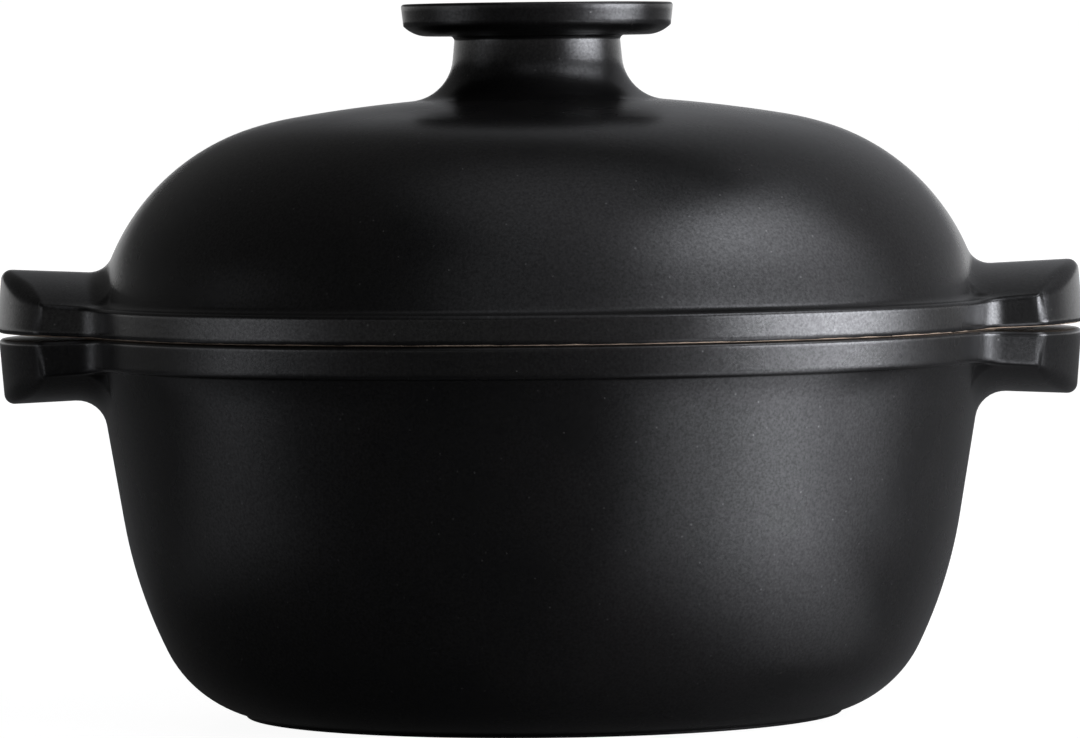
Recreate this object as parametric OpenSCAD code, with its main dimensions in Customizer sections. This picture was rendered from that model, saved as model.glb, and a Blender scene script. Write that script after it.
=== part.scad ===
// Round glazed ceramic casserole: a pot and its domed lid, both with crowned handle lugs.
// Frame: origin at the middle of the base, +Z up, the handle lugs along X.

/* [Pot] */
// Height of the pot, from the table to the face of its rim
pot_h = 113.5; // [100:0.5:150]
// Outer radius of the pot's rim
pot_rim_r = 135; // [120:0.5:150]
// Height of the rim's outer band
pot_band_h = 9.5; // [7:0.5:12]
// How far the rim stands out from the wall below it
rim_overhang = 3.7; // [3:0.1:6]
// Lean of the upper wall, in degrees from upright
wall_lean = 9.5; // [6:0.5:12]
// Radius of the belly curve below the straight wall
belly_r = 140; // [120:5:160]
// Slope at which the belly passes into the lower corner, in degrees from upright
belly_end = 26; // [22:1:32]
// Radius of the lower corner
corner_r = 36; // [30:1:42]
// Slope at which the lower corner meets the foot, in degrees from upright
corner_end = 75; // [70:1:80]
// Thickness of the pot's wall
wall_t = 7; // [5:0.5:9]
// Thickness of the pot's floor
floor_t = 8; // [6:0.5:11]
// Radius between the floor and the wall, inside
inner_corner_r = 30; // [24:1:34]
// Height of the upright edge of the foot
foot_h = 1; // [0.5:0.1:2]
// Width of the foot ring that touches the table
foot_ring_w = 9; // [6:0.5:14]
// Depth of the recess inside the foot ring
foot_recess = 0.8; // [0.4:0.1:1.5]

/* [Lid] */
// Height of the lid's crown over the seat, without the knob
dome_h = 69.5; // [66:0.1:76]
// How far the lid's rim stands out past the pot's rim
lid_overhang = 0.5; // [0:0.1:2]
// Height of the lid rim's outer band
lid_band_h = 8.6; // [7:0.2:11]
// How far the lid's rim stands out from the dome above it
lid_rim_ledge = 3.9; // [3:0.1:7]
// Slope at which the flat crown passes into the haunch, in degrees
crown_end = 9.6; // [8:0.2:11]
// Radius of the haunch, between the crown and the shoulder
haunch_r = 97; // [90:1:104]
// Slope at which the haunch passes into the shoulder, in degrees
haunch_end = 17.3; // [15:0.1:20]
// Radius of the shoulder
shoulder_r = 66.7; // [62:0.1:69]
// Slope of the dome where it runs down to the rim, in degrees
skirt_slope = 71; // [66:1:76]
// Thickness of the lid's wall
lid_t = 6; // [4.5:0.5:8]
// Depth of the ring under the lid that centres it in the pot
ring_h = 6; // [4:0.5:10]
// Thickness of the centring ring
ring_t = 6; // [4:0.5:8]
// Clearance between the centring ring and the pot's mouth, all round
ring_clearance = 1.5; // [0.5:0.1:3]

/* [Knob] */
// Height from the lid's seat to the top of the knob
knob_top = 96.5; // [92:0.5:110]
// Radius of the knob's disc, at its top edge
knob_r = 40.2; // [34:0.2:46]
// Height of the disc's upright edge
knob_edge_h = 5.5; // [4:0.5:7]
// Height of the curve from the disc's edge to its flat underside
knob_under_h = 4; // [3:0.5:6]
// Radius of that curve
knob_under_r = 10; // [7:0.5:14]
// Radius of the neck where it meets the disc
neck_r = 24.4; // [20:0.1:28]
// How far the neck's side leans out on its way down, in degrees from upright
neck_lean = 5.5; // [0:0.5:9]
// Radius of the cove between the neck and the dome
neck_cove_r = 13.5; // [10:0.5:16]
// Radius of the cove between the neck and the disc
disc_cove_r = 1.4; // [1:0.1:3]
// Radius of the hollow under the knob
core_r = 15; // [10:0.5:16]
// Thickness of clay over the hollow under the knob
core_roof_t = 12; // [9:0.5:18]

/* [Handle lugs] */
// How far a lug stands out past its own rim
lug_out = 25; // [18:0.5:36]
// Width across a lug
lug_w = 77; // [60:1:86]
// Radius of the lug's end, in plan
lug_end_r = 60; // [52:1:80]
// Radius of the lug's corners, in plan
lug_corner_r = 5.5; // [4:0.5:12]
// Angle at which the lug's sides draw together, in degrees
lug_taper = 6; // [3:1:12]
// Radius of the cove between the lug's side and the rim, in plan
lug_root_r = 10.5; // [7:0.5:13]
// Height of the lid lug's ridge over the seat, at its root
lid_lug_h = 18.4; // [15:0.1:22]
// Height of the pot lug's ridge under the seat, at its root
pot_lug_h = 19.4; // [16:0.1:23]
// Rise of the ridge from a lug's root to its end
lug_rise = 1.1; // [0:0.1:2]
// Draft of the lug's sides and end, in degrees
lug_draft = 4.5; // [3:0.5:8]
// Radius of the edge between a lug's end and its crowned face
lug_round_r = 3; // [2:0.5:6]
// Radius of the cove between the lid lug and the dome
lid_lug_cove_r = 7.5; // [5:0.5:9]
// Radius of the cove between the pot lug and the wall
pot_lug_cove_r = 9; // [6:0.5:10]
// Gap between the lid's lugs and the pot's lugs
lug_gap = 1.7; // [1:0.1:3]

/* [Edges] */
// Radius of the glazed edges
edge_r = 1.3; // [0.8:0.1:1.6]
// Radius of the cove between a rim and its wall, where the rim's ledge is wide enough for it
rim_cove_r = 3; // [2:0.1:4]
// Largest turn between two points of a curve, in degrees
curve_step = 5; // [3:1:9]

/* [Hidden] */
glaze = "#2b2a2c";
// Smoothness of a full turn
turn_fn = 120;

// Points of an arc from angle a0 to angle a1, without its last point where open is true
function arc(centre, r, a0, a1, open = false) =
    let (steps = max(1, ceil(abs(a1 - a0) / curve_step)))
    [for (i = [0 : open ? steps - 1 : steps])
        let (a = a0 + (a1 - a0) * i / steps)
        centre + r * [cos(a), sin(a)]];

function unit(a) = [cos(a), sin(a)];

// Radius of the pot's straight wall at height z, and the heights where its curves meet
wall_top_z = pot_h - pot_band_h;
wall_top_r = pot_rim_r - rim_overhang;
corner_z = foot_h + corner_r * sin(corner_end);
belly_z = corner_z - corner_r * sin(belly_end) + belly_r * sin(belly_end);
belly_top_z = belly_z - belly_r * sin(wall_lean);
function wall_r(z) = wall_top_r - (wall_top_z - z) * tan(wall_lean);
belly_x = wall_r(belly_top_z) - belly_r * cos(wall_lean);
corner_x = belly_x + (belly_r - corner_r) * cos(belly_end);
foot_r = corner_x + corner_r * cos(corner_end);
// Inside of the pot: the belly keeps the wall's thickness and its corner lands on the floor
inner_wall_offset = wall_t / cos(wall_lean);
inner_belly_r = belly_r - wall_t;
inner_turn = asin((belly_z - floor_t - inner_corner_r) / (inner_belly_r - inner_corner_r));
inner_corner_x = belly_x + (inner_belly_r - inner_corner_r) * cos(inner_turn);
mouth_r = wall_r(pot_h) - inner_wall_offset;

// How far a cove of radius r reaches along a level face, from the foot of a wall that leans
// back by lean degrees
function cove_reach(r, lean) = r * tan((90 - lean) / 2);

// Radius of a rim's cove, held back so that its ledge keeps a flat before the rounded edge
ledge_flat_w = 0.2;
function ledge_cove(ledge, lean) = min(rim_cove_r, (ledge - edge_r - ledge_flat_w) / cove_reach(1, lean));

module pot_profile() {
    cove_r = ledge_cove(rim_overhang, wall_lean);
    cove_x = wall_r(wall_top_z) + cove_reach(cove_r, wall_lean);
    polygon(concat(
        [[0, foot_recess], [foot_r - foot_ring_w, foot_recess], [foot_r - foot_ring_w + foot_recess, 0]],
        [[foot_r - foot_h / 2, 0], [foot_r, foot_h / 2]],
        arc([corner_x, corner_z], corner_r, -corner_end, -belly_end, open = true),
        arc([belly_x, belly_z], belly_r, -belly_end, -wall_lean),
        arc([cove_x, wall_top_z - cove_r], cove_r, 180 - wall_lean, 90),
        arc([pot_rim_r - edge_r, wall_top_z + edge_r], edge_r, -90, 0),
        arc([pot_rim_r - edge_r, pot_h - edge_r], edge_r, 0, 90),
        arc([mouth_r + edge_r, pot_h - edge_r], edge_r, 90, 180 - wall_lean),
        arc([belly_x, belly_z], inner_belly_r, -wall_lean, -inner_turn, open = true),
        arc([inner_corner_x, floor_t + inner_corner_r], inner_corner_r, -inner_turn, -90),
        [[0, floor_t]]
    ));
}

// Dome: the shoulder and the haunch each take up a width and a height, and the crown spans the
// width that they leave, with its centre on the axis
lid_rim_r = pot_rim_r + lid_overhang;
skirt_lean = 90 - skirt_slope;
curve_w = shoulder_r * (sin(skirt_slope) - sin(haunch_end)) + haunch_r * (sin(haunch_end) - sin(crown_end));
curve_h = shoulder_r * (cos(haunch_end) - cos(skirt_slope)) + haunch_r * (cos(crown_end) - cos(haunch_end));
crown_sag = tan(crown_end / 2);
skirt_end = lid_rim_r - lid_rim_ledge + tan(skirt_lean) * (lid_band_h - dome_h + curve_h - crown_sag * curve_w);
crown_w = skirt_end / (1 - tan(skirt_lean) * crown_sag) - curve_w;
crown_r = crown_w / sin(crown_end);
crown_c = [0, dome_h - crown_r];
haunch_c = crown_c + (crown_r - haunch_r) * unit(90 - crown_end);
shoulder_c = haunch_c + (haunch_r - shoulder_r) * unit(90 - haunch_end);
skirt_start = shoulder_c + shoulder_r * unit(90 - skirt_slope);
// Radius of the dome's skirt at height z over the seat
function skirt_r(z) = skirt_start.x + (skirt_start.y - z) * tan(skirt_lean);
// Neck and knob: the neck's cove touches both the leaning side and the crown
disc_under_z = knob_top - knob_edge_h - knob_under_h;
neck_offset = neck_r * cos(neck_lean) + (disc_under_z - crown_c.y) * sin(neck_lean);
neck_turn = asin((neck_offset + neck_cove_r) / (crown_r + neck_cove_r)) - neck_lean;
neck_cove_c = crown_c + (crown_r + neck_cove_r) * unit(90 - neck_turn);
disc_cove_x = neck_r + disc_cove_r * (1 + sin(neck_lean)) / cos(neck_lean);
under_turn = asin(1 - knob_under_h / knob_under_r);
core_top_z = knob_top - core_roof_t;
ring_r = mouth_r - ring_clearance;
core_entry_z = crown_c.y + sqrt(pow(crown_r - lid_t, 2) - pow(core_r + lid_t, 2));

module lid_profile() {
    cove_r = ledge_cove(lid_rim_ledge, skirt_lean);
    cove_x = skirt_r(lid_band_h) + cove_reach(cove_r, skirt_lean);
    under_x = knob_r - edge_r / 2 - knob_under_r * cos(under_turn);
    inner_skirt_x = skirt_start.x - lid_t * sin(skirt_slope);
    inner_skirt_z = skirt_start.y - lid_t * cos(skirt_slope);
    polygon(concat(
        [[0, knob_top]],
        [[knob_r - edge_r / 2, knob_top], [knob_r, knob_top - edge_r / 2]],
        arc([under_x, disc_under_z + knob_under_r], knob_under_r, -under_turn, -90),
        arc([disc_cove_x, disc_under_z - disc_cove_r], disc_cove_r, 90, 180 + neck_lean),
        arc(neck_cove_c, neck_cove_r, 180 + neck_lean, 270 - neck_turn, open = true),
        arc(crown_c, crown_r, 90 - neck_turn, 90 - crown_end, open = true),
        arc(haunch_c, haunch_r, 90 - crown_end, 90 - haunch_end, open = true),
        arc(shoulder_c, shoulder_r, 90 - haunch_end, 90 - skirt_slope),
        arc([cove_x, lid_band_h + cove_r], cove_r, 180 + skirt_lean, 270),
        arc([lid_rim_r - edge_r, lid_band_h - edge_r], edge_r, 90, 0),
        arc([lid_rim_r - edge_r, edge_r], edge_r, 0, -90),
        [[ring_r, 0]],
        arc([ring_r - edge_r, edge_r - ring_h], edge_r, 0, -90),
        arc([ring_r - ring_t + edge_r, edge_r - ring_h], edge_r, -90, -180),
        [[inner_skirt_x, inner_skirt_z]],
        arc(shoulder_c, shoulder_r - lid_t, 90 - skirt_slope, 90 - haunch_end, open = true),
        arc(haunch_c, haunch_r - lid_t, 90 - haunch_end, 90 - crown_end, open = true),
        [[core_r + lid_t, core_entry_z], [core_r, core_entry_z + lid_t]],
        arc([0, core_top_z - core_r], core_r, 0, 90)
    ));
}

// A lug's face stands this much over the rim's face where the two run together
seam_lift = 0.15;
// A lug's first and last sections lie this deep inside the rim, so that the two are one
root_sink = 1.2;
// Coves stop this many degrees short of running into the wall or rim they meet
cove_cut = 14;
// Between these shares of a lug's length its upper edge grows to the radius at the end
round_from = 0.35;
round_to = 0.85;

// Plan of a lug: the centres of its end, its corner and its root, on a rim of radius rim
lug_corner_y = lug_w / 2 - lug_corner_r;
lug_corner_turn = asin(lug_corner_y / (lug_end_r - lug_corner_r));
side_normal = unit(90 - lug_taper);
side_along = unit(-lug_taper);
function end_centre(rim) = [rim + lug_out - lug_end_r, 0];
function corner_centre(rim) = end_centre(rim) + (lug_end_r - lug_corner_r) * unit(lug_corner_turn);
function root_centre(rim) =
    let (off = side_normal * corner_centre(rim) + lug_corner_r + lug_root_r)
    off * side_normal + sqrt(pow(rim + lug_root_r, 2) - off * off) * side_along;

// Stations along the plan, each with its point and its outward direction
function arc_stations(centre, r, a0, a1, count, outward) =
    [for (i = [0 : count])
        let (a = a0 + (a1 - a0) * i / count)
        [centre + r * unit(a), outward * unit(a)]];
// One side of the plan, from a rim of radius rim to the tip
function half_plan(rim) =
    let (root = root_centre(rim), meet = atan2(root.y, root.x) + 180 + cove_cut)
    concat(
        arc_stations(root, lug_root_r, meet, 270 - lug_taper, 4, -1),
        arc_stations(corner_centre(rim), lug_corner_r, 90 - lug_taper, lug_corner_turn, 4, 1),
        [for (s = arc_stations(end_centre(rim), lug_end_r, lug_corner_turn, 0, 4, 1))
            if (s[0].y < lug_corner_y) s]
    );
function mirrored(s) = [[s[0].x, -s[0].y], [s[1].x, -s[1].y]];
function full_plan(rim) =
    let (half = half_plan(rim), last = len(half) - 1)
    concat(half, [for (i = [last - 1 : -1 : 0]) mirrored(half[i])]);

// Height of the lug's crowned face over the seat: a ridge along X that falls away to both
// sides and never goes below the rim's own face
function crowned(p, ridge, band) =
    let (
        fall = ridge - band,
        bend = (pow(lug_w / 2, 2) + fall * fall) / (2 * fall),
        y = min(abs(p.y), lug_w / 2),
        slope = lug_rise / lug_out,
        height = ridge + (p.x - pot_rim_r) * slope - bend + sqrt(bend * bend - y * y)
    )
    max(height, band + seam_lift);

// Radius of a lug's upper edge, this far out along the lug
function upper_edge(x) =
    let (share = ((x - pot_rim_r) / lug_out - round_from) / (round_to - round_from), t = max(0, min(1, share)))
    edge_r + (lug_round_r - edge_r) * t * t * (3 - 2 * t);

// One section of a lug, from the wall's middle out along the flat face, up the drafted side,
// back over the crowned face and down the cove into the wall
function lug_section(s, sunk, ridge, band, cove, lean, wall_x, mid_low, mid_high) =
    let (
        p = s[0] - s[1] * (sunk ? root_sink : 0),
        n = s[1],
        ray = p / norm(p),
        drop = sunk ? root_sink / 2 : 0,
        z0 = lug_gap / 2,
        top_r = upper_edge(p.x),
        z1 = crowned(p - n * top_r, ridge, band) - drop,
        lean_in = tan(lug_draft),
        foot_x = wall_x - z1 * tan(lean),
        reach = max(edge_r / 2, min(cove_reach(cove, lean), norm(p) - 2 * edge_r - foot_x)),
        r = reach / tan((90 - lean) / 2),
        top_in = p - n * (top_r + (z1 - z0) * lean_in),
        cove_start = ray * (foot_x + reach),
        z2 = crowned(cove_start, ridge, band) - drop,
        cove_end = 180 + lean + cove_cut
    )
    concat(
        [[ray.x * mid_low, ray.y * mid_low, z0]],
        [for (a = [0 : 45 : 90])
            let (q = p - n * edge_r * (1 - sin(a))) [q.x, q.y, z0 + edge_r * (1 - cos(a))]],
        [for (a = [0 : 30 : 90])
            let (q = top_in + n * top_r * cos(a)) [q.x, q.y, z1 - top_r * (1 - sin(a))]],
        [for (t = [1 / 3, 2 / 3, 1])
            let (q = top_in + (cove_start - top_in) * t)
            [q.x, q.y, t < 1 ? crowned(q, ridge, band) - drop : z2]],
        [for (i = [1 : 4])
            let (a = 270 + (cove_end - 270) * i / 4, out = foot_x + reach + r * cos(a))
            [ray.x * out, ray.y * out, z2 + r + r * sin(a)]],
        [[ray.x * mid_high, ray.y * mid_high, z2 + r + r * sin(cove_end)]]
    );

// Solid through sections that all have as many points, closed by its first and last section
module skin(sections) {
    count = len(sections[0]);
    last = len(sections) - 1;
    polyhedron(
        points = [for (s = sections) each s],
        faces = concat(
            [for (i = [0 : last - 1], j = [0 : count - 1], half = [0, 1])
                let (k = (j + 1) % count, a = i * count, b = a + count)
                half == 0 ? [a + j, b + k, a + k] : [a + j, b + j, b + k]],
            [for (j = [1 : count - 2]) [0, j, j + 1]],
            [for (j = [1 : count - 2]) [last * count, last * count + j + 1, last * count + j]]
        )
    );
}

// Lug on the +X side, over the seat plane at z = 0
module lug(rim, ridge, band, cove, lean, wall_x, mid_low, mid_high) {
    plan = full_plan(rim);
    last = len(plan) - 1;
    skin([for (i = [0 : last])
        lug_section(plan[i], i == 0 || i == last, ridge, band, cove, lean, wall_x, mid_low, mid_high)]);
}

module lug_pair() {
    for (a = [0, 180]) rotate([0, 0, a]) children();
}

module pot() {
    color(glaze) {
        rotate_extrude($fn = turn_fn) pot_profile();
        translate([0, 0, pot_h]) mirror([0, 0, 1]) lug_pair()
            lug(pot_rim_r, pot_lug_h, pot_band_h, pot_lug_cove_r, wall_lean, wall_r(pot_h),
                wall_r(pot_h) - wall_t / 2, wall_r(pot_h - pot_lug_h - pot_lug_cove_r) - wall_t / 2);
    }
}

module lid() {
    color(glaze) translate([0, 0, pot_h]) {
        rotate_extrude($fn = turn_fn) lid_profile();
        lug_pair()
            lug(lid_rim_r, lid_lug_h, lid_band_h, lid_lug_cove_r, skirt_lean, skirt_r(0),
                skirt_r(0) - lid_t, skirt_r(lid_lug_h + lid_lug_cove_r) - lid_t / 2);
    }
}

pot();
lid();
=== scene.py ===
"""A round glazed ceramic casserole and its domed lid, in a white studio.

Laid out as an add-on: property groups hold the sizes and colours, and there is one operator each
for the pot, for the lid, and for the stage with its lamps and camera.
"""

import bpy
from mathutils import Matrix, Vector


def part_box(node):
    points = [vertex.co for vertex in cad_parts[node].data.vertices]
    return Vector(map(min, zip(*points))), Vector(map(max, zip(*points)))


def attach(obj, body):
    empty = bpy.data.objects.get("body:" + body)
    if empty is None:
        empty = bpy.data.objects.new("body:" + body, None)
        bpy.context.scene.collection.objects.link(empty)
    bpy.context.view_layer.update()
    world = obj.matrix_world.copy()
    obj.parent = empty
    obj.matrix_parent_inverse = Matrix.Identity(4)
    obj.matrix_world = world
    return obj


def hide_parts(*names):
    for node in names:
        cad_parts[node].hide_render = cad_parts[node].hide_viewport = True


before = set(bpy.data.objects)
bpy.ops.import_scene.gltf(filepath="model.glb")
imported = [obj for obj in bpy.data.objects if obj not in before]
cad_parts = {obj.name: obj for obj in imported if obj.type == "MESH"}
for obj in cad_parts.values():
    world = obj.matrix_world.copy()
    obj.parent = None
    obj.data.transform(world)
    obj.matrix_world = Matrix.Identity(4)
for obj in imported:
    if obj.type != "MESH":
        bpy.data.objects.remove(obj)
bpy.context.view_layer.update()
POT_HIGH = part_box("pot")[1]
LID_LOW, LID_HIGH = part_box("lid")

import math
from types import SimpleNamespace

import bpy
import numpy as np
from bpy.props import FloatProperty, FloatVectorProperty, PointerProperty
from mathutils import Matrix, Vector

bl_info = {
    "name": "Glazed Casserole",
    "version": (1, 0, 0),
    "blender": (4, 5, 0),
    "location": "3D View > Sidebar > Casserole",
    "description": "A round casserole and its domed lid in satin black glaze, on a white stage",
    "category": "Add Mesh",
}

MM = 0.001
SEAT_Z = POT_HIGH.z

# From the seat to where the wall is round again, clear of its lugs
POT_CLEAR = 38 * MM
LID_CLEAR = 34 * MM

# How a lug grows out of its rim: widths past the rim, and shares of the lug's length
LUG_START = 2 * MM
DRAFT_START = 4 * MM
COVE_START = 12 * MM
CORNER_START = 0.6
ROUND_START, ROUND_END = 0.35, 0.85
GAP_AT_RIM = 0.25

# Where the rim's flat seat starts behind its rounded edge, and the spacing of the rings before it
SEAT_START = 1.2 * MM
SEAT_STEP = 0.2 * MM

BACKDROP_FOOT = 0.3
CARD_LIFT = 0.02
CEILING = 1.7


def hex_to_linear(code):
    """Linear RGBA of an sRGB hex colour such as "#2b2a2c"."""
    channels = [int(code[i : i + 2], 16) / 255 for i in (1, 3, 5)]
    return [c / 12.92 if c <= 0.04045 else ((c + 0.055) / 1.055) ** 2.4 for c in channels] + [1]


def length(name, description, default):
    return FloatProperty(
        name=name, description=description, default=default, unit="LENGTH", precision=5
    )


def angle(name, description, degrees):
    return FloatProperty(
        name=name, description=description, default=math.radians(degrees), unit="ROTATION"
    )


def number(name, description, default):
    return FloatProperty(name=name, description=description, default=default)


def colour(name, description, code):
    return FloatVectorProperty(
        name=name, description=description, default=hex_to_linear(code),
        size=4, subtype="COLOR", min=0, max=1,
    )


class PotSizes(bpy.types.PropertyGroup):
    """The bowl, from its rim down to its foot ring."""

    rim_radius: length("Rim radius", "Outer radius of the pot's rim", POT_HIGH.y)
    band: length("Rim band", "Height of the rim's outer band", 9.5 * MM)
    band_draft: angle("Band draft", "How far the band leans in on its way down, from upright", 3)
    overhang: length("Overhang", "How far the rim stands out from the wall", 3.7 * MM)
    rim_cove: length("Rim cove", "Radius of the cove between the rim and the wall", 1.2 * MM)
    flare: length("Flare", "How far the wall flares out under the rim", 1.2 * MM)
    flare_reach: length("Flare height", "Height over which the wall flares", 7 * MM)
    wall_lean: angle("Wall lean", "Lean of the upper wall from upright", 9.5)
    belly_radius: length("Belly", "Radius of the curve below the straight wall", 140 * MM)
    belly_end: angle("Belly end", "Slope where the belly meets the lower corner", 26)
    corner_radius: length("Corner", "Radius of the lower corner", 36 * MM)
    corner_end: angle("Corner end", "Slope where the lower corner meets the foot", 75)
    wall: length("Wall", "Thickness of the wall", 7 * MM)
    floor: length("Floor", "Thickness of the floor", 8 * MM)
    inner_corner: length("Inner corner", "Radius between the floor and the wall, inside", 30 * MM)
    foot_height: length("Foot edge", "Height of the foot's upright edge", 1 * MM)
    foot_ring: length("Foot ring", "Width of the ring that touches the table", 9 * MM)
    foot_recess: length("Foot recess", "Depth of the recess inside the foot ring", 0.8 * MM)


class LidSizes(bpy.types.PropertyGroup):
    """The dome, its rim and the ring that centres it in the pot."""

    rim_radius: length("Rim radius", "Outer radius of the lid's rim", LID_HIGH.y)
    dome: length("Dome height", "Height of the crown over the seat", 69.5 * MM)
    band: length("Rim band", "Height of the rim's outer band", 8.6 * MM)
    ledge: length("Rim ledge", "How far the rim stands out from the dome", 3.9 * MM)
    rim_cove: length("Rim cove", "Radius of the cove between the rim and the dome", 2.8 * MM)
    crown_end: angle("Crown end", "Slope where the crown passes into the haunch", 9.6)
    haunch_radius: length("Haunch", "Radius between the crown and the shoulder", 97 * MM)
    haunch_end: angle("Haunch end", "Slope where the haunch passes into the shoulder", 17.3)
    shoulder_radius: length("Shoulder", "Radius of the shoulder", 66.7 * MM)
    skirt_slope: angle("Skirt slope", "Slope of the dome where it runs down to the rim", 71)
    wall: length("Wall", "Thickness of the lid's wall", 6 * MM)
    ring_depth: length("Ring depth", "Depth of the centring ring", SEAT_Z - LID_LOW.z)
    ring_wall: length("Ring wall", "Thickness of the centring ring", 6 * MM)
    ring_clearance: length("Ring clearance", "Clearance from the ring to the pot's mouth", 1.5 * MM)


class KnobSizes(bpy.types.PropertyGroup):
    """The disc knob, its neck and the hollow under it."""

    top: length("Knob top", "Height of the knob's top over the seat", LID_HIGH.z - SEAT_Z)
    radius: length("Knob radius", "Radius of the disc at its top edge", 40.2 * MM)
    edge: length("Knob edge", "Height of the disc's upright edge", 6.5 * MM)
    under_height: length("Under height", "Height of the curve under the disc's edge", 3 * MM)
    under: length("Under radius", "Radius of the curve under the disc's edge", 10 * MM)
    top_round: length("Top edge", "Radius of the disc's top edge", 0.9 * MM)
    neck: length("Neck radius", "Radius of the neck where it meets the disc", 24.4 * MM)
    neck_lean: angle("Neck lean", "Lean of the neck's side from upright", 5.5)
    neck_cove: length("Neck cove", "Radius of the cove between the neck and the dome", 13.5 * MM)
    disc_cove: length("Disc cove", "Radius of the cove between the neck and the disc", 1.4 * MM)
    core: length("Core radius", "Radius of the hollow under the knob", 15 * MM)
    core_roof: length("Core roof", "Thickness of clay over the hollow", 12 * MM)


class LugSizes(bpy.types.PropertyGroup):
    """The two handle lugs that each rim has."""

    out: length("Length", "From a rim to the tip of its lugs", 25 * MM)
    width: length("Width", "Width across a lug", 77 * MM)
    end_radius: length("End radius", "Radius of the lug's end, in plan", 60 * MM)
    corner_radius: length("Corner radius", "Radius of the lug's corners, in plan", 5.5 * MM)
    taper: angle("Taper", "Angle at which the lug's sides draw together", 6)
    root_radius: length("Root radius", "Radius from the lug's side to the rim, in plan", 10.5 * MM)
    lid_ridge: length("Lid ridge", "Height of the lid lug's ridge over the seat", 18.4 * MM)
    pot_ridge: length("Pot ridge", "Height of the pot lug's ridge under the seat", 19.4 * MM)
    rise: length("Rise", "Rise of the ridge from the root to the tip", 1.1 * MM)
    draft: angle("Draft", "Draft of the lug's sides and end", 4.5)
    corner_draft: angle("Corner draft", "Draft that is added at the lug's corners", 9)
    lid_cove: length("Lid cove", "Radius of the cove between the lid lug and the dome", 7.5 * MM)
    pot_cove: length("Pot cove", "Radius of the cove between the pot lug and the wall", 9 * MM)
    gap: length("Gap", "Gap between the lid's lugs and the pot's lugs", 1.7 * MM)
    end_round: length("End edge", "Radius of the edge round a lug's end, over its face", 3 * MM)
    corner_round: length("Corner edge", "Radius of that edge at the lug's corners", 7 * MM)
    edge: length("Edge radius", "Radius of the glazed edges", 1.3 * MM)
    toe: length("Ridge toe", "Width over which a lug's face eases into the rim's face", 1.5 * MM)


class GlazeLook(bpy.types.PropertyGroup):
    """Colours and surface of the fired glaze and of the bare clay."""

    glaze: colour("Glaze", "Colour of the satin black glaze", "#050505")
    glaze_thin: colour("Thin glaze", "Colour where the glaze lies thin", "#090808")
    speck: colour("Specks", "Colour of the pale specks in the glaze", "#8a8884")
    clay: colour("Bare clay", "Colour of the clay where the lid seats", "#a89684")
    clay_dark: colour("Dark clay", "Colour of the darker grains in the clay", "#5d4c3e")
    roughness: number("Roughness", "Mean roughness of the satin glaze", 0.28)
    roughness_spread: number("Roughness spread", "How far patches differ from the mean", 0.03)
    patch: length("Patches", "Spacing of the broad patches of thick and thin glaze", 45 * MM)
    ior: number("IOR", "Refraction, low as the satin surface scatters part of the gloss", 1.31)
    specular: number("Specular level", "Mean specular level of the satin glaze", 0.5)
    peel: length("Orange peel", "Spacing of the waves that the glaze leaves as it melts", 2.4 * MM)
    peel_depth: length("Peel depth", "Height of those waves", 0.018 * MM)
    grain: length("Grain", "Spacing of the fine grain of the satin surface", 0.8 * MM)
    grain_depth: length("Grain depth", "Height of the fine grain", 0.008 * MM)
    mottle: number("Mottle", "Share by which the gloss varies from grain to grain", 0.3)
    bead_spacing: length("Bead spacing", "Spacing of the small beads in the glaze", 4.5 * MM)
    bead_height: length("Bead height", "Height of those beads", 0.02 * MM)
    speck_share: number("Speck strength", "How much of its pale colour a speck shows", 0.1)
    clay_grain: length("Clay grain", "Spacing of the grains in the clay", 0.6 * MM)
    clay_relief: length("Clay relief", "Height of those grains", 0.05 * MM)
    bare_line: length("Bare line", "How far the lid's glaze stops short of its seat", 0.3 * MM)
    bare_wave: length("Bare wave", "Spacing of the waves in the line where the glaze ends", 9 * MM)
    bare_fade: length("Bare fade", "Width over which the glaze thins out to clay", 0.08 * MM)


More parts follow.
